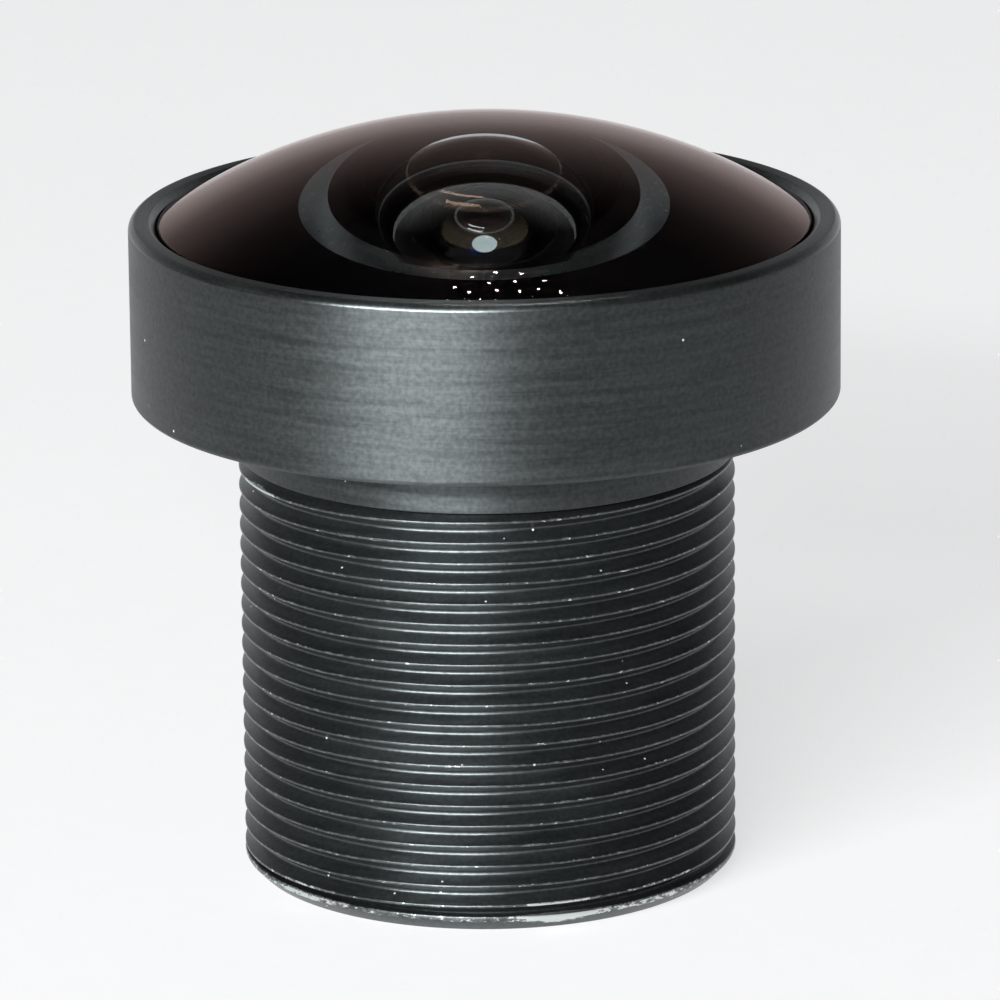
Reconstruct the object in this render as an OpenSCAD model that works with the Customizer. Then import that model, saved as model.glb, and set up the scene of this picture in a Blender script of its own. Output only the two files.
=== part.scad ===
// Board-camera fisheye lens: a threaded barrel with six glass elements, screwed together at both ends.
// The optical axis is Z, the rear end is at Z = 0 and the domed front element points up.

/* [Mounting thread] */
// Outer diameter of the thread that screws into a lens holder
thread_d = 12; // [11.6:0.1:12.6]
// Rise of the thread in one turn
thread_pitch = 0.5; // [0.4:0.05:0.6]
// Length from the rear end to the top of the thread
thread_l = 10.4; // [10:0.1:11.5]
// Direction in which the thread starts at the rear end
thread_start = 269; // [0:1:359]
// Straight steps in one turn of the thread
thread_steps = 24; // [18:6:36]
// Bevel on the outer edge of the rear end
rear_bevel = 0.3; // [0.15:0.05:0.4]
// Plain land between the rear bevel and the first turn
rear_land = 0.12; // [0.08:0.02:0.3]

/* [Head] */
// Height of the smooth neck between the thread and the head
neck_h = 1.37; // [1:0.05:2]
// Wall of the front ring around its thread
ring_wall = 0.4; // [0.3:0.05:0.8]
// Height of the front ring
ring_h = 4.37; // [4.2:0.05:5]
// Bevel on the outer top edge of the front ring
rim_bevel = 0.13; // [0.05:0.01:0.2]
// Bevel on the outer bottom edge of the front ring
foot_bevel = 0.1; // [0.05:0.01:0.2]
// Rise in one turn of the thread that joins the front ring to the barrel
head_thread_pitch = 0.5; // [0.35:0.05:0.6]
// Plain land at each end of that thread
head_land = 0.15; // [0.1:0.05:0.25]
// Distance that the front ring reaches below the barrel's head
ring_skirt = 0.15; // [0.1:0.05:0.4]
// Thickness of the lip that holds the front element
lip_t = 0.64; // [0.5:0.02:0.8]
// Bevel on the inner top edge of the lip
lip_bevel = 0.16; // [0.08:0.02:0.3]
// Thickness of the slip washer under the lip
lip_washer_t = 0.1; // [0.05:0.01:0.2]
// Cord thickness of the sealing ring under the front element
seal_cord = 0.9; // [0.7:0.05:1]
// Distance from the crest of the head's thread in to the middle of the sealing ring
seal_inset = 1.4; // [1.2:0.1:1.6]
// Depth of the groove that the sealing ring is squeezed into
seal_groove_h = 0.7; // [0.5:0.05:0.85]

/* [Front element] */
// Radius of the domed front surface
dome_r = 14.34; // [13:0.1:16]
// Diameter of the dome's edge
dome_d = 15.7; // [15.4:0.05:15.8]
// Distance from the top of the front ring down to the dome's edge
dome_drop = 0.11; // [0.05:0.01:0.2]
// Width of the flange around the dome's edge
dome_flange_w = 0.25; // [0.2:0.01:0.4]
// Thickness of the flange that the lip presses on
dome_flange_t = 1.2; // [1:0.05:1.4]
// Thickness of the front element at its centre
dome_centre_t = 1; // [0.8:0.05:1.4]
// Diameter of the hollow in the front element's rear face
dome_hollow_d = 6.5; // [6:0.1:6.7]

/* [Inner elements] */
// Diameter of the barrel's upper bore
upper_bore_d = 9.2; // [9:0.1:9.6]
// Diameter of the barrel's lower bore
lower_bore_d = 7.6; // [7.2:0.1:8]
// Edge thickness of the second element
second_edge_t = 1.3; // [1.1:0.05:1.5]
// Thickness of the second element at its centre
second_centre_t = 0.6; // [0.5:0.05:0.8]
// Radius of the second element's front surface
second_front_r = 9; // [8:0.5:14]
// Diameter of the second element's front surface
second_front_d = 6.6; // [6:0.1:6.8]
// Diameter of the hollow in the second element's rear face
second_hollow_d = 4.2; // [3.6:0.1:4.4]
// Edge thickness of the third element
third_edge_t = 1.5; // [1.2:0.05:1.7]
// Radius of the third element's front surface
third_front_r = 5.5; // [5:0.25:8]
// Radius of the third element's rear surface
third_rear_r = 12; // [8:0.5:20]
// Diameter of the third element's polished surfaces
third_clear_d = 4.6; // [4:0.1:4.8]
// Edge thickness of the fourth element
fourth_edge_t = 1.3; // [1.1:0.05:1.5]
// Radius of the fourth element's front surface
fourth_front_r = 6; // [5:0.25:9]
// Diameter of the fourth element's front surface
fourth_front_d = 3.4; // [3:0.1:3.8]
// Radius of the fourth element's rear surface
fourth_rear_r = 4.5; // [4.25:0.25:7]
// Diameter of the fourth element's rear surface
fourth_rear_d = 4.2; // [3.8:0.1:4.4]
// Edge thickness of the doublet's front element
doublet_front_t = 1.5; // [1.3:0.05:1.7]
// Radius of the doublet's hollow front surface
doublet_front_r = 9; // [7:0.5:12]
// Diameter of the doublet's hollow front surface
doublet_front_d = 4.4; // [4:0.1:4.8]
// Edge thickness of the doublet's rear element
doublet_rear_t = 1.2; // [1:0.05:1.4]
// Radius of the cemented surface inside the doublet
cement_r = 4.5; // [4.25:0.25:6]
// Diameter of the cemented surface inside the doublet
cement_d = 4.8; // [4.4:0.1:5]
// Radius of the doublet's rear surface
doublet_rear_r = 7; // [5.5:0.5:10]
// Diameter of the doublet's rear surface
doublet_rear_d = 4.6; // [4.2:0.1:4.8]

/* [Spacers and stops] */
// Thickness of the spacer under the front element
front_spacer_t = 0.45; // [0.3:0.05:0.6]
// Thickness of the spacer under the second element
second_spacer_t = 0.7; // [0.6:0.05:0.9]
// Thickness of the spacer under the third element
third_spacer_t = 0.8; // [0.6:0.05:1]
// Thickness of the aperture stop
stop_t = 0.1; // [0.05:0.01:0.2]
// Diameter of the opening in the aperture stop
stop_d = 1; // [0.8:0.1:2.4]
// Thickness of the spacer under the aperture stop
stop_spacer_t = 0.6; // [0.4:0.05:0.8]
// Thickness of the spacer under the fourth element
fourth_spacer_t = 0.65; // [0.6:0.05:0.85]
// Thickness of the spacer under the doublet
rear_spacer_t = 0.7; // [0.5:0.05:0.9]
// Thickness of the black films that stop stray light
film_t = 0.05; // [0.03:0.01:0.1]

/* [Rear end] */
// Diameter of the bore at the rear end
rear_bore_d = 8.6; // [8.2:0.1:9]
// Bevel on the mouth of the rear bore
mouth_bevel = 0.15; // [0.05:0.05:0.3]
// Height of the rear ring
rear_ring_h = 0.9; // [0.7:0.05:1.1]
// Diameter of the opening in the rear ring
rear_ring_opening_d = 6.4; // [6:0.1:7]
// Width of the spanner slots in the rear ring
spanner_slot_w = 0.6; // [0.4:0.05:0.9]
// Depth of the spanner slots in the rear ring
spanner_slot_h = 0.4; // [0.2:0.05:0.5]
// Thickness of the slip washer on the filter
filter_washer_t = 0.1; // [0.05:0.01:0.2]
// Thickness of the infrared filter
filter_t = 0.3; // [0.2:0.05:0.5]
// Thickness of the barrel's inner ledge between the filter and the elements
ledge_t = 0.4; // [0.3:0.05:0.6]
// Diameter of the opening in the barrel's inner ledge
ledge_opening_d = 5.6; // [5.2:0.1:6]

/* [Clearances] */
// Gap around the elements, spacers and filter in their bores
cell_clear = 0.03; // [0.01:0.01:0.05]
// Gap between the parts of a screwed joint
thread_clear = 0.05; // [0.02:0.01:0.08]
// Gap between the dome's edge and the lip
lip_clear = 0.04; // [0.02:0.01:0.1]
// Gap between a polished surface's edge and the spacer around it
glass_clear = 0.15; // [0.1:0.05:0.3]
// Gap between the bore's step and the spacer above it
step_clear = 0.1; // [0.05:0.05:0.3]

/* [Hidden] */
$fn = 128;

black_metal = "#2c302f";
black_sheet = "#161616";
clear_glass = "#b9c6d2";
filter_glass = "#9fd0d4";
rubber = "#0e0e0e";
over = 0.1;  // how far a cut runs past the surface that it opens

// Proportions of a sixty-degree metric thread, as shares of its pitch
flank = 30;
depth_share = 0.6134;
crest_share = 1 / 8;
sink_share = 0.12;  // how far a ridge's base lies inside its core
runout = thread_steps / 3;
rear_land_z = rear_bevel + rear_land;

// Heights, from the rear end up
ring_z = thread_l + neck_h;
rim_z = ring_z + ring_h;
head_z = ring_z + ring_skirt;
lip_z = rim_z - lip_t;
flange_z = lip_z - lip_washer_t;
seat_z = flange_z - dome_flange_t;

// Heights of the stacked pieces' rear faces, from the seat down
front_spacer_z = seat_z - front_spacer_t;
second_z = front_spacer_z - second_edge_t;
front_film_z = second_z - film_t;
second_spacer_z = front_film_z - second_spacer_t;
third_z = second_spacer_z - third_edge_t;
third_spacer_z = third_z - third_spacer_t;
stop_z = third_spacer_z - stop_t;
stop_spacer_z = stop_z - stop_spacer_t;
fourth_z = stop_spacer_z - fourth_edge_t;
rear_film_z = fourth_z - film_t;
fourth_spacer_z = rear_film_z - fourth_spacer_t;
doublet_front_z = fourth_spacer_z - doublet_front_t;
doublet_rear_z = doublet_front_z - doublet_rear_t;
floor_z = doublet_rear_z - rear_spacer_t;
filter_seat_z = floor_z - ledge_t;
filter_z = filter_seat_z - filter_t;
filter_washer_z = filter_z - filter_washer_t;
rear_ring_z = filter_washer_z - rear_ring_h;
step_z = second_spacer_z - step_clear;

// Diameters that follow from a bore or a mating piece
head_thread_d = dome_d + 2 * dome_flange_w;
seal_d = head_thread_d - 2 * seal_inset;
upper_cell_d = upper_bore_d - 2 * cell_clear;
lower_cell_d = lower_bore_d - 2 * cell_clear;
rear_cell_d = rear_bore_d - 2 * cell_clear;
ring_bore_d = head_thread_d + 2 * thread_clear;
ring_d = ring_bore_d + 2 * ring_wall;
lip_opening_d = dome_d + 2 * lip_clear;
rear_ring_d = rear_bore_d - 2 * thread_clear;

// Height of a spherical cap of radius r over a circle of diameter d
function sag(r, d) = r - sqrt(r * r - d * d / 4);

// Radius of the sphere that reaches a height h over a circle of diameter d
function sphere_radius(d, h) = (d * d / 4 + h * h) / (2 * h);

dome_edge_z = rim_z - dome_drop;
dome_apex_z = dome_edge_z + sag(dome_r, dome_d);
dome_hollow_h = dome_apex_z - dome_centre_t - seat_z;
second_apex_z = front_spacer_z + sag(second_front_r, second_front_d);
second_hollow_h = second_apex_z - second_centre_t - second_z;

// A flat disc or ring that stands on height z
module disc(z, d, h, hole = 0) {
    translate([0, 0, z])
    difference() {
        cylinder(d = d, h = h);
        if (hole > 0)
            translate([0, 0, -over])
                cylinder(d = hole, h = h + 2 * over);
    }
}

// A spherical cap of radius r over a circle of diameter d at height z, bulging up, or down if side is -1
module cap(z, r, d, side = 1) {
    translate([0, 0, z])
    intersection() {
        translate([0, 0, -side * (r - sag(r, d))])
            sphere(r = r);
        translate([0, 0, side > 0 ? 0 : -r])
            cylinder(d = d, h = r);
    }
}

// A spherical hollow of depth h, cut from height z over a circle of diameter d, upwards, or down if side is -1
module hollow(z, d, h, side = 1) {
    r = sphere_radius(d, h);
    translate([0, 0, z - side * (r - h)])
        sphere(r = r);
}

function root_radius(d, pitch) = d / 2 - depth_share * pitch;

// Corner of a ridge, i steps along a helix that starts at height z
function ridge_corner(i, r, z, pitch) =
    let (turn = i / thread_steps)
    [r * cos(360 * turn), r * sin(360 * turn), z + turn * pitch];

// Cross-section of a ridge, i steps from its start, which rises and sinks away at its ends
function ridge_section(i, steps, d, pitch, z) =
    let (fade = min(1, i / runout, (steps - i) / runout),
         depth = depth_share * pitch,
         sink = sink_share * pitch,
         lost = (1 - fade) * (depth + sink / 2),
         base_w = crest_share * pitch / 2 + (depth + sink) * tan(flank),
         top_w = crest_share * pitch / 2 + lost * tan(flank),
         base_r = d / 2 - depth - sink,
         top_r = d / 2 - lost)
    [ridge_corner(i, base_r, z - base_w, pitch), ridge_corner(i, top_r, z - top_w, pitch),
        ridge_corner(i, top_r, z + top_w, pitch), ridge_corner(i, base_r, z + base_w, pitch)];

// The ridge of a right-handed thread of crest diameter d, between two plain lands
module thread_ridge(d, pitch, low_z, high_z) {
    start_z = low_z + pitch / 2;
    steps = floor((high_z - low_z - pitch) / pitch * thread_steps);
    points = [for (i = [0:steps]) each ridge_section(i, steps, d, pitch, start_z)];
    sides = [for (i = [0:steps - 1], k = [0:3])
        let (a = 4 * i + k, b = 4 * i + (k + 1) % 4)
        each [[a, b, b + 4], [a, b + 4, a + 4]]];
    ends = [[3, 2, 1, 0], [for (k = [0:3]) 4 * steps + k]];
    polyhedron(points, concat(sides, ends), convexity = 10);
}

// The barrel's turned outline: bevel, land, thread core, neck, and a head with a thread core of its own
module barrel_outline() {
    thread_r = thread_d / 2;
    root_r = root_radius(thread_d, thread_pitch);
    head_r = head_thread_d / 2;
    head_root_r = root_radius(head_thread_d, head_thread_pitch);
    rotate_extrude()
        polygon([[0, 0], [thread_r - rear_bevel, 0], [thread_r, rear_bevel], [thread_r, rear_land_z],
            [root_r, rear_land_z], [root_r, thread_l], [thread_r, thread_l], [thread_r, head_z],
            [head_r, head_z], [head_r, head_z + head_land], [head_root_r, head_z + head_land],
            [head_root_r, seat_z - head_land], [head_r, seat_z - head_land], [head_r, seat_z], [0, seat_z]]);
}

module barrel_bores() {
    translate([0, 0, step_z])
        cylinder(d = upper_bore_d, h = seat_z - step_z + over);
    translate([0, 0, floor_z])
        cylinder(d = lower_bore_d, h = seat_z - floor_z);
    translate([0, 0, -over])
        cylinder(d = ledge_opening_d, h = seat_z);
    translate([0, 0, -over])
        cylinder(d = rear_bore_d, h = filter_seat_z + over);
    translate([0, 0, -over])
        cylinder(d1 = rear_bore_d + 2 * (mouth_bevel + over), d2 = rear_bore_d, h = mouth_bevel + over);
}

// The groove that the sealing ring lies in
module seal_groove(h) {
    translate([0, 0, seat_z - seal_groove_h])
    difference() {
        cylinder(d = seal_d + seal_cord, h = h);
        translate([0, 0, -over])
            cylinder(d = seal_d - seal_cord, h = h + 2 * over);
    }
}

module barrel() {
    color(black_metal)
    difference() {
        union() {
            barrel_outline();
            rotate([0, 0, thread_start])
                thread_ridge(thread_d, thread_pitch, rear_land_z, thread_l);
            thread_ridge(head_thread_d, head_thread_pitch, head_z + head_land, seat_z - head_land);
        }
        barrel_bores();
        seal_groove(seal_groove_h + over);
    }
}

module front_ring() {
    color(black_metal)
    rotate_extrude()
        polygon([[ring_bore_d / 2, ring_z], [ring_d / 2 - foot_bevel, ring_z], [ring_d / 2, ring_z + foot_bevel],
            [ring_d / 2, rim_z - rim_bevel], [ring_d / 2 - rim_bevel, rim_z],
            [lip_opening_d / 2 + lip_bevel, rim_z], [lip_opening_d / 2, rim_z - lip_bevel],
            [lip_opening_d / 2, lip_z], [ring_bore_d / 2, lip_z]]);
}

module lip_washer() {
    color(black_sheet)
        disc(flange_z, head_thread_d, lip_washer_t, lip_opening_d);
}

module front_element() {
    color(clear_glass)
    difference() {
        union() {
            disc(seat_z, head_thread_d, dome_flange_t);
            disc(seat_z, dome_d, dome_edge_z - seat_z);
            cap(dome_edge_z, dome_r, dome_d);
        }
        hollow(seat_z, dome_hollow_d, dome_hollow_h);
    }
}

module seal_ring() {
    color(rubber)
    intersection() {
        rotate_extrude()
            translate([seal_d / 2, seat_z - seal_groove_h / 2])
                circle(d = seal_cord);
        seal_groove(seal_groove_h);
    }
}

module front_spacer() {
    color(black_metal)
        disc(front_spacer_z, upper_cell_d, front_spacer_t, second_front_d + 2 * glass_clear);
}

module second_element() {
    color(clear_glass)
    difference() {
        union() {
            disc(second_z, upper_cell_d, second_edge_t);
            cap(front_spacer_z, second_front_r, second_front_d);
        }
        hollow(second_z, second_hollow_d, second_hollow_h);
    }
}

module front_film() {
    color(black_sheet)
        disc(front_film_z, upper_cell_d, film_t, second_hollow_d + glass_clear);
}

module second_spacer() {
    color(black_metal)
        disc(second_spacer_z, upper_cell_d, second_spacer_t, third_clear_d + 2 * glass_clear);
}

module third_element() {
    color(clear_glass)
    union() {
        disc(third_z, lower_cell_d, third_edge_t);
        cap(second_spacer_z, third_front_r, third_clear_d);
        cap(third_z, third_rear_r, third_clear_d, -1);
    }
}

module third_spacer() {
    color(black_metal)
        disc(third_spacer_z, lower_cell_d, third_spacer_t, third_clear_d + 2 * glass_clear);
}

module aperture_stop() {
    color(black_sheet)
        disc(stop_z, lower_cell_d, stop_t, stop_d);
}

module stop_spacer() {
    color(black_metal)
        disc(stop_spacer_z, lower_cell_d, stop_spacer_t, fourth_front_d + 2 * glass_clear);
}

module fourth_element() {
    color(clear_glass)
    union() {
        disc(fourth_z, lower_cell_d, fourth_edge_t);
        cap(stop_spacer_z, fourth_front_r, fourth_front_d);
        cap(fourth_z, fourth_rear_r, fourth_rear_d, -1);
    }
}

module rear_film() {
    color(black_sheet)
        disc(rear_film_z, lower_cell_d, film_t, fourth_rear_d + 2 * glass_clear);
}

module fourth_spacer() {
    color(black_metal)
        disc(fourth_spacer_z, lower_cell_d, fourth_spacer_t, fourth_rear_d + 2 * glass_clear);
}

module doublet_front() {
    color(clear_glass)
    difference() {
        disc(doublet_front_z, lower_cell_d, doublet_front_t);
        hollow(fourth_spacer_z, doublet_front_d, sag(doublet_front_r, doublet_front_d), -1);
        hollow(doublet_front_z, cement_d, sag(cement_r, cement_d));
    }
}

module doublet_rear() {
    color(clear_glass)
    union() {
        disc(doublet_rear_z, lower_cell_d, doublet_rear_t);
        cap(doublet_front_z, cement_r, cement_d);
        cap(doublet_rear_z, doublet_rear_r, doublet_rear_d, -1);
    }
}

module rear_spacer() {
    color(black_metal)
        disc(floor_z, lower_cell_d, rear_spacer_t, doublet_rear_d + 2 * glass_clear);
}

module ir_filter() {
    color(filter_glass)
        disc(filter_z, rear_cell_d, filter_t);
}

module filter_washer() {
    color(black_sheet)
        disc(filter_washer_z, rear_cell_d, filter_washer_t, rear_ring_opening_d);
}

module rear_ring() {
    color(black_metal)
    difference() {
        disc(rear_ring_z, rear_ring_d, rear_ring_h, rear_ring_opening_d);
        translate([-rear_ring_d / 2, -spanner_slot_w / 2, rear_ring_z - over])
            cube([rear_ring_d, spanner_slot_w, spanner_slot_h + over]);
    }
}

barrel();
front_ring();
lip_washer();
front_element();
seal_ring();
front_spacer();
second_element();
front_film();
second_spacer();
third_element();
third_spacer();
aperture_stop();
stop_spacer();
fourth_element();
rear_film();
fourth_spacer();
doublet_front();
doublet_rear();
rear_spacer();
ir_filter();
filter_washer();
rear_ring();
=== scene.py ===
import math

import bmesh
import bpy
from mathutils import Matrix, Vector


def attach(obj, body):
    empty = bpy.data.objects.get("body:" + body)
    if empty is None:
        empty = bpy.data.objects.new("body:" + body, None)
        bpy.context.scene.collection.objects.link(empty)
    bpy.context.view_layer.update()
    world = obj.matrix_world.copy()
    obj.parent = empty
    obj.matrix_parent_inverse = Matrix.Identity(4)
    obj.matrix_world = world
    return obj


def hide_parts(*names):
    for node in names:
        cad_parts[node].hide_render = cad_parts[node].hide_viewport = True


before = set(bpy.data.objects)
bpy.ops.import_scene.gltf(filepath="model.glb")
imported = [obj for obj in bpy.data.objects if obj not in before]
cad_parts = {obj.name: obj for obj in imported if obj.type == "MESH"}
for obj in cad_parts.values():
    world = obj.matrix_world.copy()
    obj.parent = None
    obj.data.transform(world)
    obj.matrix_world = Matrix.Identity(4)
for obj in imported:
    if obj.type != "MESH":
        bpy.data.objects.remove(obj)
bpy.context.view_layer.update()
mm = 0.001
fullTurn = 2 * math.pi
white = (1, 1, 1, 1)


# Shader helpers

def addNode(tree, kind, inputs=None, **settings):
    made = tree.nodes.new("ShaderNode" + kind)
    for key, value in settings.items():
        setattr(made, key, value)
    for key, value in (inputs or {}).items():
        if isinstance(value, bpy.types.NodeSocket):
            tree.links.new(value, made.inputs[key])
        else:
            made.inputs[key].default_value = value
    return made


# Constants go straight to the shader's sockets, with _ for the spaces in their names
def newMaterial(name, **sockets):
    made = bpy.data.materials.new(name)
    made.use_nodes = True
    surface = made.node_tree.nodes["Principled BSDF"]
    for key, value in sockets.items():
        surface.inputs[key.replace("_", " ")].default_value = value
    return made, made.node_tree, surface


def math2(tree, operation, a, b):
    return addNode(tree, "Math", {0: a, 1: b}, operation=operation).outputs[0]


def remap(tree, value, low, high, toLow, toHigh):
    inputs = {"Value": value, "From Min": low, "From Max": high, "To Min": toLow, "To Max": toHigh}
    return addNode(tree, "MapRange", inputs).outputs["Result"]


# Noise lies mostly between 0.3 and 0.7, and this stretches it to another span
def spread(tree, value, low, high):
    return remap(tree, value, 0.3, 0.7, low, high)


def mixColor(tree, factor, a, b):
    return addNode(tree, "Mix", {0: factor, 6: a, 7: b}, data_type="RGBA").outputs[2]


def scaleColor(tree, color, tone):
    return addNode(tree, "VectorMath", {0: color, "Scale": tone}, operation="SCALE").outputs[0]


def objectPlace(tree):
    return addNode(tree, "TexCoord").outputs["Object"]


# Coordinates that follow a lathe tool: long around the axis, short along the outline
def latheCoords(tree, around, along):
    split = addNode(tree, "SeparateXYZ", {0: objectPlace(tree)}).outputs
    flat = addNode(tree, "CombineXYZ", {0: split[0], 1: split[1]})
    radius = addNode(tree, "VectorMath", {0: flat.outputs[0]}, operation="LENGTH").outputs["Value"]
    travel = math2(tree, "ADD", split[2], radius)
    joined = addNode(tree, "CombineXYZ", {0: split[0], 1: split[1], 2: travel}).outputs[0]
    scale = (around, around, along)
    return addNode(tree, "VectorMath", {0: joined, 1: scale}, operation="MULTIPLY").outputs[0]


def noise(tree, coords, scale, detail=2.0, roughness=0.5):
    inputs = {"Vector": coords, "Scale": scale, "Detail": detail, "Roughness": roughness}
    return addNode(tree, "TexNoise", inputs).outputs[0]


# Sparse pale specks: a cell's middle, in the few cells whose random colour is high
def specks(tree, coords, scale, size, share):
    cells = addNode(tree, "TexVoronoi", {"Vector": coords, "Scale": scale})
    near = remap(tree, cells.outputs["Distance"], size, size * 0.6, 0.0, 1.0)
    pick = addNode(tree, "SeparateColor", {0: cells.outputs["Color"]}).outputs[0]
    return math2(tree, "MULTIPLY", near, math2(tree, "GREATER_THAN", pick, 1.0 - share))


# Materials

anodised = {
    "glossTint": (0.87, 0.98, 1.0, 1), "markScale": 320.0, "grainScale": 9000.0, "grainDepth": 1.2e-6,
    "dustSize": 0.06, "dustColor": (0.42, 0.43, 0.42, 1)}
# The finish wears grey first and then down to the metal, where the wear and a noise together pass the limits
scuffed = {"color": (0.07, 0.076, 0.075, 1), "scale": (5500.0, 9000.0), "noise": (3.0, 0.7), "limits": (1.48, 1.7)}
bared = {"color": (0.66, 0.70, 0.69, 1), "scale": (5000.0, 11000.0), "noise": (4.0, 0.65), "limits": (1.6, 1.67)}


def wornShare(tree, settings):
    wear = addNode(tree, "Attribute", attribute_name="wear").outputs["Fac"]
    patches = noise(tree, latheCoords(tree, *settings["scale"]), 1.0, *settings["noise"])
    return remap(tree, math2(tree, "ADD", wear, patches), *settings["limits"], 0.0, 1.0)


# Turned and anodised aluminium: marks around the axis, fine grain and dust, and wear if the piece has it
def blackAnodised(name, settings):
    made, tree, surface = newMaterial(
        name, IOR=settings["ior"], Specular_Tint=anodised["glossTint"],
        Anisotropic=settings["streak"], Anisotropic_Rotation=0.25)
    around = addNode(tree, "Tangent", direction_type="RADIAL", axis="Z")
    tree.links.new(around.outputs[0], surface.inputs["Tangent"])
    marks = noise(tree, latheCoords(tree, anodised["markScale"], settings["markScale"]), 1.0, 3.0, 0.65)
    grain = noise(tree, objectPlace(tree), anodised["grainScale"], 2.0)
    dust = specks(tree, objectPlace(tree), settings["dustScale"], anodised["dustSize"], settings["dustShare"])
    tone = math2(tree, "MULTIPLY", spread(tree, marks, 0.75, 1.25), spread(tree, grain, 0.8, 1.2))
    color = mixColor(tree, dust, scaleColor(tree, settings["color"], tone), anodised["dustColor"])
    if settings.get("worn"):
        bare = wornShare(tree, bared)
        color = mixColor(tree, wornShare(tree, scuffed), color, scuffed["color"])
        color = mixColor(tree, bare, color, bared["color"])
        tree.links.new(bare, surface.inputs["Metallic"])
    rough = remap(tree, marks, 0.25, 0.75, settings["roughness"] - 0.06, settings["roughness"] + 0.06)
    bump = addNode(tree, "Bump", {"Height": marks, "Distance": settings["markDepth"], "Strength": 1.0})
    bump = addNode(tree, "Bump", {
        "Height": grain, "Distance": anodised["grainDepth"], "Strength": 1.0, "Normal": bump.outputs[0]})
    tree.links.new(color, surface.inputs["Base Color"])
    tree.links.new(rough, surface.inputs["Roughness"])
    tree.links.new(math2(tree, "MULTIPLY", tone, 0.5), surface.inputs["Specular IOR Level"])
    tree.links.new(bump.outputs[0], surface.inputs["Normal"])
    return made


# Glass with a coating, in nanometres, whose thickness drifts a little over the surface
def coatedGlass(name, ior, coating, color=white, tint=white):
    made, tree, surface = newMaterial(
        name, Base_Color=color, Roughness=0.0, IOR=ior, Transmission_Weight=1.0,
        Thin_Film_IOR=1.38, Specular_Tint=tint)
    drift = noise(tree, objectPlace(tree), 160.0, 1.0)
    tree.links.new(spread(tree, drift, coating - 4, coating + 4), surface.inputs["Thin Film Thickness"])
    return made


# A ground face seen through the glass, which shows as a dim satin band
def groundFace(name, color):
    made, tree, surface = newMaterial(name, Base_Color=color, Metallic=1.0)
    grain = noise(tree, objectPlace(tree), 9000.0, 3.0)
    tree.links.new(spread(tree, grain, 0.26, 0.36), surface.inputs["Roughness"])
    return made


def matte(name, color, roughness, grainScale, grainDepth, ior=1.45):
    made, tree, surface = newMaterial(name, IOR=ior)
    grain = noise(tree, objectPlace(tree), grainScale, 3.0, 0.6)
    bump = addNode(tree, "Bump", {"Height": grain, "Distance": grainDepth, "Strength": 1.0})
    tree.links.new(scaleColor(tree, color, spread(tree, grain, 0.75, 1.25)), surface.inputs["Base Color"])
    tree.links.new(spread(tree, grain, roughness - 0.07, roughness + 0.07), surface.inputs["Roughness"])
    tree.links.new(bump.outputs[0], surface.inputs["Normal"])
    return made


ringMetal = blackAnodised("ringMetal", {
    "color": (0.005, 0.0056, 0.0056), "roughness": 0.5, "streak": 0.8, "ior": 1.66,
    "markScale": 6500.0, "markDepth": 2.0e-6, "dustScale": 1500.0, "dustShare": 0.15})
rimMetal = blackAnodised("rimMetal", {
    "color": (0.006, 0.0066, 0.0066), "roughness": 0.3, "streak": 0.3, "ior": 1.77,
    "markScale": 9000.0, "markDepth": 1.0e-6, "dustScale": 1500.0, "dustShare": 0.0})
barrelMetal = blackAnodised("barrelMetal", {
    "color": (0.005, 0.0056, 0.0055), "roughness": 0.34, "streak": 0.5, "ior": 1.77,
    "markScale": 9000.0, "markDepth": 1.2e-6, "dustScale": 1800.0, "dustShare": 0.35, "worn": True})
innerMetal = blackAnodised("innerMetal", {
    "color": (0.03, 0.031, 0.031), "roughness": 0.42, "streak": 0.0, "ior": 1.77,
    "markScale": 7000.0, "markDepth": 2.0e-6, "dustScale": 700.0, "dustShare": 0.0})
edgeInk = matte("edgeInk", (0.004, 0.003, 0.003), 0.75, 5000.0, 1.5e-6, ior=1.08)  # no gloss under glass
innerInk = matte("innerInk", (0.02, 0.018, 0.017), 0.5, 5000.0, 1.5e-6, ior=1.3)
blackFilm = matte("blackFilm", (0.012, 0.012, 0.012), 0.6, 12000.0, 1.0e-6)
blackRubber = matte("blackRubber", (0.014, 0.014, 0.014), 0.7, 8000.0, 2.0e-6)
stopSheet = matte("stopSheet", (0.016, 0.016, 0.018), 0.4, 10000.0, 0.8e-6)
frontGlass = coatedGlass("frontGlass", 1.52, 104, tint=(1, 0.8, 0.78, 1))
groundGlass = groundFace("groundGlass", (0.13, 0.14, 0.14, 1))
secondGlass = coatedGlass("secondGlass", 1.65, 25)
innerGlass = coatedGlass("innerGlass", 1.72, 105)
doubletGlass = coatedGlass("doubletGlass", 1.62, 110)
filterGlass = coatedGlass("filterGlass", 1.52, 330, color=(0.86, 0.98, 0.96, 1))
print("materials made")


# Shape helpers. A corner is (radius, height, rounding) in millimetres.

def arc(radius, apex, fromR, toR, side=1, count=48):
    found = []
    for i in range(count + 1):
        r = fromR + (toR - fromR) * i / count
        found.append((r, apex - side * (radius - math.sqrt(radius * radius - r * r)), 0))
    return found


# A hollow close to a half ball is divided by angle, so that its steep rim is smooth too
def bowl(rimR, rimZ, apex, count=64):
    height = apex - rimZ
    radius = (rimR * rimR + height * height) / (2 * height)
    turn = math.acos((radius - height) / radius)
    steps = [turn * (1 - i / count) for i in range(count + 1)]
    return [(radius * math.sin(a), apex - radius + radius * math.cos(a), 0) for a in steps]


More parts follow.
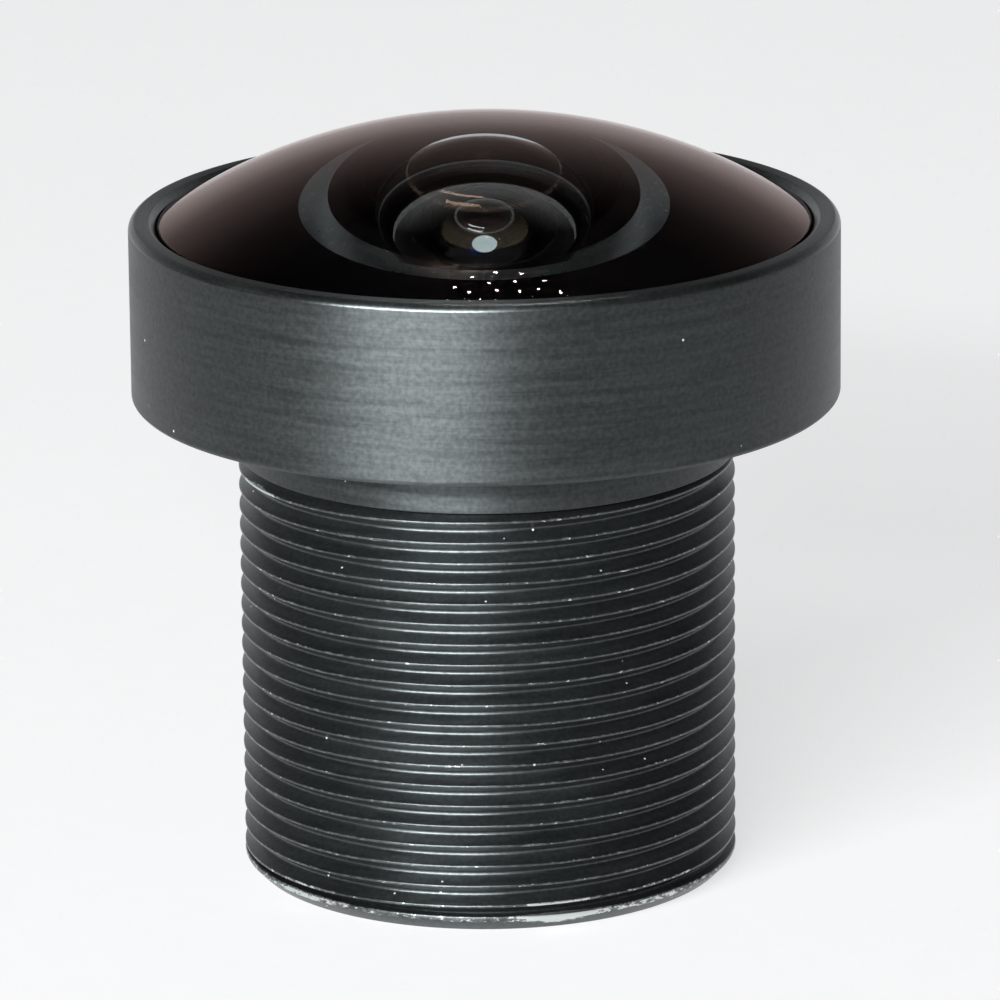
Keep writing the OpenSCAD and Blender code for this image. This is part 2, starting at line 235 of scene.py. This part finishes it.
def turned(corners, steps=192):
    bm = bmesh.new()
    loop = [bm.verts.new((r * mm, 0, z * mm)) for r, z, rounding in corners]
    bm.faces.new(loop)
    for size in sorted({c[2] for c in corners if c[2] > 0}):
        chosen = [v for v, c in zip(loop, corners) if c[2] == size]
        bmesh.ops.bevel(bm, geom=chosen, offset=size * mm, offset_type="OFFSET", affect="VERTICES",
                        segments=4, profile=0.5, material=-1)
    bmesh.ops.delete(bm, geom=bm.faces[:], context="FACES_ONLY")
    onAxis = [e for e in bm.edges if all(v.co.x < 1e-8 for v in e.verts)]
    bmesh.ops.delete(bm, geom=onAxis, context="EDGES")
    bmesh.ops.spin(bm, geom=bm.verts[:] + bm.edges[:], cent=(0, 0, 0), axis=(0, 0, 1),
                   angle=fullTurn, steps=steps, use_merge=True)
    bmesh.ops.remove_doubles(bm, verts=bm.verts[:], dist=1e-7)
    bmesh.ops.recalc_face_normals(bm, faces=bm.faces[:])
    return bm


# Metric thread form, as shares of the pitch
threadForm = {"veeDepth": 0.7578, "rootRound": 0.144, "halfCrest": 1 / 16, "rootSteps": 8}


# One pitch of a sixty-degree thread, from crest to crest, with a rounded root. Side is -1 inside a bore.
def threadOutline(crestR, pitch, side=1):
    rootRound = threadForm["rootRound"] * pitch
    middle = crestR - side * threadForm["veeDepth"] * pitch + side * 2 * rootRound
    flat = threadForm["halfCrest"] * pitch
    half = [(crestR, 0), (crestR, flat * 0.55),
            (crestR - side * 0.006, flat * 0.95), (crestR - side * 0.02, flat * 1.3)]
    steps = threadForm["rootSteps"]
    angles = [math.radians(-60 + 120 * i / steps) for i in range(steps + 1)]
    root = [(middle - side * rootRound * math.cos(a), pitch / 2 + rootRound * math.sin(a)) for a in angles]
    return half + root + [(r, pitch - z) for r, z in reversed(half)]


# A helical skin between two heights, added to a turned piece
def addThread(bm, settings):
    pitch, steps, side = settings["pitch"], settings["steps"], settings.get("side", 1)
    lowZ, highZ = settings["lowZ"], settings["highZ"]
    turns = math.ceil((highZ - lowZ) / pitch) + 2
    start = math.radians(settings["crestAngle"])
    firstZ = settings["crestZ"] - pitch * math.ceil((settings["crestZ"] - lowZ) / pitch + 1)
    skin = bmesh.new()
    chain = []
    for r, z in threadOutline(settings["crestR"], pitch, side):
        chain.append(skin.verts.new((r * mm * math.cos(start), r * mm * math.sin(start), (firstZ + z) * mm)))
    for a, b in zip(chain, chain[1:]):
        skin.edges.new((a, b))
    bmesh.ops.spin(skin, geom=skin.verts[:] + skin.edges[:], cent=(0, 0, 0), axis=(0, 0, 1),
                   dvec=(0, 0, pitch * mm / steps), angle=fullTurn, steps=steps)
    oneTurn = skin.verts[:] + skin.edges[:] + skin.faces[:]
    for turn in range(1, turns):
        copied = bmesh.ops.duplicate(skin, geom=oneTurn)["geom"]
        moved = [v for v in copied if isinstance(v, bmesh.types.BMVert)]
        bmesh.ops.translate(skin, verts=moved, vec=(0, 0, turn * pitch * mm))
    bmesh.ops.remove_doubles(skin, verts=skin.verts[:], dist=6e-7)
    for height, outer in ((lowZ, -1), (highZ, 1)):
        bmesh.ops.bisect_plane(skin, geom=skin.verts[:] + skin.edges[:] + skin.faces[:], dist=1e-8,
                               plane_co=(0, 0, height * mm), plane_no=(0, 0, outer), clear_outer=True)
    bmesh.ops.recalc_face_normals(skin, faces=skin.faces[:])
    if side < 0:
        bmesh.ops.reverse_faces(skin, faces=skin.faces[:])
    holder = bpy.data.meshes.new("threadSkin")
    skin.to_mesh(holder)
    skin.free()
    bm.from_mesh(holder)
    bpy.data.meshes.remove(holder)


def linkMesh(bm, name, materials):
    mesh = bpy.data.meshes.new(name)
    bm.to_mesh(mesh)
    bm.free()
    for material in materials:
        mesh.materials.append(material)
    made = bpy.data.objects.new(name, mesh)
    bpy.context.collection.objects.link(made)
    return made


def keepPiece(bm, name, materials, body, node, sharpAngle=30):
    for face in bm.faces:
        face.smooth = True
    piece = linkMesh(bm, name, materials)
    piece.data.set_sharp_from_angle(angle=math.radians(sharpAngle))
    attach(piece, body)
    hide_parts(node)
    return piece


# Radius and height of a point, in millimetres
def turnedPlace(point):
    return math.hypot(point.x, point.y) / mm, point.z / mm


# Barrel

barrel = {
    "outline": [
        (4.45, 0, 0.02), (5.70, 0, 0.05), (6.0, 0.30, 0.05), (6.0, 0.42, 0.03), (5.55, 0.42, 0),
        (5.55, 10.4, 0), (6.0, 10.4, 0.03), (6.0, 11.92, 0), (8.1, 11.92, 0.04), (8.1, 12.07, 0.03),
        (7.6, 12.07, 0), (7.6, 14.05, 0), (8.1, 14.05, 0.03), (8.1, 14.2, 0.03), (7.15, 14.2, 0.03),
        (7.15, 13.5, 0.03), (6.25, 13.5, 0.03), (6.25, 14.2, 0.03), (4.6, 14.2, 0.05), (4.6, 11.6, 0),
        (3.8, 11.6, 0.03), (3.8, 3.3, 0), (2.8, 3.3, 0.03), (2.8, 2.9, 0.03), (4.3, 2.9, 0),
        (4.3, 2.5, 0.02), (4.5, 2.5, 0), (4.5, 0.15, 0)],
    "threads": [
        {"crestR": 6.0, "pitch": 0.5, "lowZ": 0.42, "highZ": 10.4, "crestZ": 9.656, "crestAngle": -101, "steps": 144},
        {"crestR": 8.1, "pitch": 0.5, "lowZ": 12.07, "highZ": 14.05, "crestZ": 12.57, "crestAngle": 0, "steps": 144},
        {"crestR": 4.3, "pitch": 0.35, "lowZ": 0.12, "highZ": 2.5, "crestZ": 0.8, "crestAngle": 0, "steps": 96,
         "side": -1}],
    "neckZ": 10.41,
    # Wear grows from a radius over a width, on the thread's crests and on the rear land
    "wornFromR": 5.6, "wornToZ": 10.3, "landZ": 0.44,
    "crestWear": {"base": 0.0, "gain": 0.97, "fromR": 5.95, "width": 0.045},
    "landWear": {"base": 0.4, "gain": 0.62, "fromR": 5.93, "width": 0.05},
    # Chipped places: angle, height, width, strength
    "chipR": 6.0,
    "chips": [(-74, 0.35, 1.3, 0.6), (-139, 0.3, 1.6, 0.2), (-49, 0.3, 2.0, 0.16), (-157, 10.08, 1.1, 0.7)]}


def barrelWear(point):
    r, z = turnedPlace(point)
    if r <= barrel["wornFromR"]:
        return 0.0
    worn = 0.0
    if z < barrel["wornToZ"]:
        kind = barrel["crestWear" if z > barrel["landZ"] else "landWear"]
        worn = kind["base"] + kind["gain"] * max(0.0, min(1.0, (r - kind["fromR"]) / kind["width"]))
    for angle, height, width, strength in barrel["chips"]:
        chipX = barrel["chipR"] * math.cos(math.radians(angle))
        chipY = barrel["chipR"] * math.sin(math.radians(angle))
        away = math.dist((point.x / mm, point.y / mm, z * 2), (chipX, chipY, height * 2))  # wide and low
        worn += strength * max(0.0, 1 - away / width)
    return worn


bm = turned(barrel["outline"])
for settings in barrel["threads"]:
    addThread(bm, settings)
wearLayer = bm.verts.layers.float.new("wear")
for vert in bm.verts:
    vert[wearLayer] = barrelWear(vert.co)
for face in bm.faces:
    face.material_index = 1 if face.calc_center_median().z > barrel["neckZ"] * mm else 0
keepPiece(bm, "barrelBody", [barrelMetal, ringMetal], "lens_barrel", "barrel")
print("barrel made")


# Front ring and front element

frontRing = {
    "outline": [
        (8.15, 11.77, 0.03), (8.45, 11.77, 0.04), (8.55, 11.87, 0.04), (8.55, 16.01, 0.08), (8.42, 16.14, 0.06),
        (8.05, 16.14, 0.04), (7.89, 15.98, 0.04), (7.89, 15.50, 0.02), (8.15, 15.50, 0)],
    "steps": 256,
    # The slanting faces above this height are the polished edges
    "edgeZ": 15.9, "edgeSlant": (0.15, 0.95)}
bm = turned(frontRing["outline"], frontRing["steps"])
for face in bm.faces:
    steep, level = frontRing["edgeSlant"]
    if face.calc_center_median().z > frontRing["edgeZ"] * mm and steep < abs(face.normal.z) < level:
        face.material_index = 1
keepPiece(bm, "frontRing", [ringMetal, rimMetal], "front_ring", "front_ring")

frontElement = {
    "outline": arc(14.34, 18.369, 0, 7.85, 1, 72)[:-1] + [
        (7.85, 16.03, 0.05), (7.85, 15.4, 0), (8.1, 15.4, 0.05), (8.1, 14.205, 0.08), (3.7, 14.205, 0)]
        + bowl(3.25, 14.205, 17.369),
    "steps": 256,
    # The rear face is ground around the hollow and inked beyond, as the edge is
    "rearZ": 14.21, "groundTo": 3.7, "edgeR": 7.84}
bm = turned(frontElement["outline"], frontElement["steps"])
for face in bm.faces:
    r, z = turnedPlace(face.calc_center_median())
    if z < frontElement["rearZ"] and r < frontElement["groundTo"]:
        face.material_index = 2
    elif z < frontElement["rearZ"] or r > frontElement["edgeR"]:
        face.material_index = 1
keepPiece(bm, "frontElement", [frontGlass, edgeInk, groundGlass], "front_cell", "front_element")
print("front cell made")


# Inner elements: polished inside a clear radius on each side of the middle, inked elsewhere

innerElements = {
    "second_element": {
        "outline": arc(9, 14.377, 0, 3.3) + [(4.57, 13.75, 0.05), (4.57, 12.45, 0.05)] + bowl(2.1, 12.45, 13.777),
        "clear": (3.3, 2.1), "middle": 13.1, "glass": secondGlass},
    "third_element": {
        "outline": arc(5.5, 12.204, 0, 2.3) + [(3.77, 11.7, 0.05), (3.77, 10.2, 0.05)] + arc(12, 9.978, 2.3, 0, -1),
        "clear": (2.3, 2.3), "middle": 11.0, "glass": innerGlass},
    "fourth_element": {
        "outline": arc(6, 8.946, 0, 1.7) + [(3.77, 8.7, 0.05), (3.77, 7.4, 0.05)] + arc(4.5, 6.88, 2.1, 0, -1),
        "clear": (1.7, 2.1), "middle": 8.0, "glass": innerGlass},
    "doublet_front": {
        "outline": arc(9, 6.427, 0, 2.2, -1) + [(3.77, 6.7, 0.05), (3.77, 5.2, 0)] + arc(4.5, 5.893, 2.4, 0),
        "clear": (2.2, 2.4), "middle": 6.0, "glass": doubletGlass},
    "doublet_rear": {
        "outline": arc(4.5, 5.891, 0, 2.4) + [(3.77, 5.198, 0), (3.77, 4.0, 0.05)] + arc(7, 3.611, 2.3, 0, -1),
        "clear": (2.4, 2.3), "middle": 4.6, "glass": innerGlass}}
innerSteps = 128
for node, settings in innerElements.items():
    bm = turned(settings["outline"], innerSteps)
    for face in bm.faces:
        r, z = turnedPlace(face.calc_center_median())
        clear = settings["clear"][0 if z > settings["middle"] else 1]
        face.material_index = 0 if r < clear else 1
    name = "glass" + "".join(word.capitalize() for word in node.split("_"))
    keepPiece(bm, name, [settings["glass"], innerInk], "lens_barrel", node)

filterDisc = {"outline": [(0, 2.6, 0), (4.27, 2.6, 0.04), (4.27, 2.9, 0.04), (0, 2.9, 0)]}
bm = turned(filterDisc["outline"], innerSteps)
keepPiece(bm, "filterDisc", [filterGlass], "filter_cell", "ir_filter")
print("inner glass made")


# Rear ring: turned above its spanner slots, then drawn down on both sides of them

rearRing = {
    "outline": [(3.2, 2.0, 0), (4.25, 2.0, 0), (4.25, 2.5, 0), (3.2, 2.5, 0)], "steps": 96,
    "halfSlot": 0.3, "slotHeight": 0.4, "bevel": 0.04, "bevelFrom": 50}
bm = turned(rearRing["outline"], rearRing["steps"])
slotEdge = rearRing["halfSlot"] * mm
for side in (-1, 1):
    bmesh.ops.bisect_plane(bm, geom=bm.verts[:] + bm.edges[:] + bm.faces[:], dist=1e-8,
                           plane_co=(0, side * slotEdge, 0), plane_no=(0, 1, 0))
low = [f for f in bm.faces if f.normal.z < -0.9 and abs(f.calc_center_median().y) > slotEdge]
drawn = bmesh.ops.extrude_face_region(bm, geom=low)["geom"]
bmesh.ops.delete(bm, geom=low, context="FACES")
drawnVerts = [v for v in drawn if isinstance(v, bmesh.types.BMVert)]
bmesh.ops.translate(bm, verts=drawnVerts, vec=(0, 0, -rearRing["slotHeight"] * mm))
bmesh.ops.recalc_face_normals(bm, faces=bm.faces[:])
bevelFrom = math.radians(rearRing["bevelFrom"])
corners = [e for e in bm.edges if len(e.link_faces) == 2 and e.calc_face_angle() > bevelFrom]
bmesh.ops.bevel(bm, geom=corners, offset=rearRing["bevel"] * mm, affect="EDGES",
                segments=2, profile=0.5, material=-1)
keepPiece(bm, "rearRing", [ringMetal], "rear_ring", "rear_ring")

# Sealing ring: a round cord that is squeezed flat above and below
sealRing = {"middle": 6.7, "height": 13.85, "cordR": 0.45, "squeezedR": 0.35, "corners": 24}
ringCorners = []
for i in range(sealRing["corners"]):
    turn = fullTurn * i / sealRing["corners"]
    lift = max(-sealRing["squeezedR"], min(sealRing["squeezedR"], sealRing["cordR"] * math.sin(turn)))
    ringCorners.append((sealRing["middle"] + sealRing["cordR"] * math.cos(turn), sealRing["height"] + lift, 0))
keepPiece(turned(ringCorners, innerSteps), "sealRing", [blackRubber], "lens_barrel", "seal_ring")

plainNodes = {
    innerMetal: ["front_spacer", "second_spacer", "third_spacer", "stop_spacer", "fourth_spacer", "rear_spacer"],
    blackFilm: ["lip_washer", "front_film", "rear_film", "filter_washer"],
    stopSheet: ["aperture_stop"]}
for material, nodes in plainNodes.items():
    for node in nodes:
        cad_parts[node].data.materials.clear()
        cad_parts[node].data.materials.append(material)
print("rear end and plain pieces dressed")


# Studio

def placeLamp(name, settings):
    light = bpy.data.lights.new(name, "AREA")
    light.shape = "RECTANGLE"
    light.size, light.size_y = settings["size"]
    light.energy = settings["watts"]
    lamp = bpy.data.objects.new(name, light)
    bpy.context.collection.objects.link(lamp)
    lamp.location = settings["place"]
    lamp.rotation_euler = (Vector(settings["aim"]) - lamp.location).to_track_quat("-Z", "Y").to_euler()
    lamp.visible_camera = False


studio = {
    "softbox": {"size": (0.24, 0.05), "watts": 0.8, "place": (-0.137, -0.376, 0.034), "aim": (0, 0, 0.01)},
    "key": {"size": (0.34, 0.03), "watts": 4.1, "place": (-0.156, -0.368, 0.165), "aim": (0, 0, 0.01)},
    # Level of the wall behind by height above the horizon, and its share in front
    "wall": [(0.0, 0.65), (0.18, 0.58), (0.3, 0.4), (0.5, 0.2), (0.62, 0.09), (0.75, 0.015), (1.0, 0.01)],
    "frontLevel": 0.08, "frontToBack": (0.25, 0.8)}

# Paper floor, which glows for the camera and in reflections and keeps the shadow
paper = {"radius": 0.8, "color": (0.94, 0.945, 0.95), "glow": 0.68, "glowColor": (0.985, 0.99, 1, 1)}
floorMaterial, tree, surface = newMaterial("paperFloor", Roughness=0.9)
fibre = noise(tree, objectPlace(tree), 900.0, 3.0)
tree.links.new(scaleColor(tree, paper["color"], spread(tree, fibre, 0.985, 1.015)), surface.inputs["Base Color"])
rays = addNode(tree, "LightPath").outputs
seen = math2(tree, "MAXIMUM", rays["Is Camera Ray"], rays["Is Glossy Ray"])
seen = math2(tree, "MAXIMUM", seen, rays["Is Transmission Ray"])
glow = addNode(tree, "Emission", {"Color": paper["glowColor"], "Strength": 1.0})
share = math2(tree, "MULTIPLY", seen, paper["glow"])
mixed = addNode(tree, "MixShader", {0: share, 1: surface.outputs[0], 2: glow.outputs[0]})
tree.links.new(mixed.outputs[0], tree.nodes["Material Output"].inputs["Surface"])
bm = bmesh.new()
bmesh.ops.create_circle(bm, cap_ends=True, segments=128, radius=paper["radius"])
floor = linkMesh(bm, "floor", [floorMaterial])

for name in ("softbox", "key"):
    placeLamp(name, studio[name])

# Ceiling lamp with rings of small bulbs, which show only in reflections: each ring's radius and count
ceiling = {
    "bulbR": 0.0019, "strength": 150.0, "color": (1, 0.97, 0.98, 1), "place": (0.021, 0.043, 0.368),
    "rings": [(0.058, 16), (0.042, 11), (0.027, 8)]}
bulbGlow, tree, surface = newMaterial(
    "bulbGlow", Base_Color=(0, 0, 0, 1), Emission_Color=ceiling["color"], Emission_Strength=ceiling["strength"])
bulbGlow.cycles.emission_sampling = "NONE"
bm = bmesh.new()
for ringR, count in ceiling["rings"]:
    for i in range(count):
        turn = fullTurn * (i + 0.5) / count
        spot = Vector(ceiling["place"]) + Vector((ringR * math.cos(turn), ringR * math.sin(turn), 0))
        bmesh.ops.create_icosphere(bm, subdivisions=2, radius=ceiling["bulbR"], matrix=Matrix.Translation(spot))
bulbs = linkMesh(bm, "ceilingBulbs", [bulbGlow])
bulbs.visible_camera = bulbs.visible_diffuse = bulbs.visible_shadow = False

world = bpy.data.worlds.new("studioWorld")
bpy.context.scene.world = world
world.use_nodes = True
tree = world.node_tree
way = addNode(tree, "SeparateXYZ", {0: addNode(tree, "TexCoord").outputs["Generated"]}).outputs
ramp = addNode(tree, "ValToRGB", {0: way[2]})
while len(ramp.color_ramp.elements) < len(studio["wall"]):
    ramp.color_ramp.elements.new(0.5)
for element, (place, level) in zip(ramp.color_ramp.elements, studio["wall"]):
    element.position = place
    element.color = (level, level, level * 1.02, 1)
behind = remap(tree, way[1], *studio["frontToBack"], studio["frontLevel"], 1.0)
tree.links.new(ramp.outputs[0], tree.nodes["Background"].inputs["Color"])
tree.links.new(behind, tree.nodes["Background"].inputs["Strength"])
print("studio made")


# Camera, fitted to the photo: focal length and aim point in pixels of a 1000 x 1000 frame

photo = {
    "frame": 1000, "focal": 8287.44, "distance": 0.2004844, "elevation": 15.7485, "roll": -0.5834,
    "aim": (0, 0, 0.010), "aimPixel": (486.822, 461.508), "sensor": 36}
tilt, roll = math.radians(photo["elevation"]), math.radians(photo["roll"])
back = Vector((0, -math.cos(tilt), math.sin(tilt)))
level, upright = Vector((1, 0, 0)), Vector((0, math.sin(tilt), math.cos(tilt)))
right = level * math.cos(roll) + upright * math.sin(roll)
above = upright * math.cos(roll) - level * math.sin(roll)
offX = (photo["aimPixel"][0] - photo["frame"] / 2) / photo["focal"]
offY = (photo["frame"] / 2 - photo["aimPixel"][1]) / photo["focal"]
forward = (-back - right * offX - above * offY).normalized()
right = (right - forward * right.dot(forward)).normalized()
stance = Matrix((right, right.cross(forward), -forward)).transposed().to_4x4()
stance.translation = Vector(photo["aim"]) + back * photo["distance"]
cameraData = bpy.data.cameras.new("photoCamera")
cameraData.sensor_width = photo["sensor"]
cameraData.lens = photo["sensor"] * photo["focal"] / photo["frame"]
cameraData.clip_start, cameraData.clip_end = 0.01, 10
camera = bpy.data.objects.new("photoCamera", cameraData)
bpy.context.collection.objects.link(camera)
camera.matrix_world = stance
bpy.context.scene.camera = camera
bpy.context.scene.view_settings.view_transform = "Standard"
bpy.context.scene.cycles.max_bounces = 20  # a look down the bore passes fourteen glass surfaces
bpy.context.scene.cycles.transmission_bounces = 20
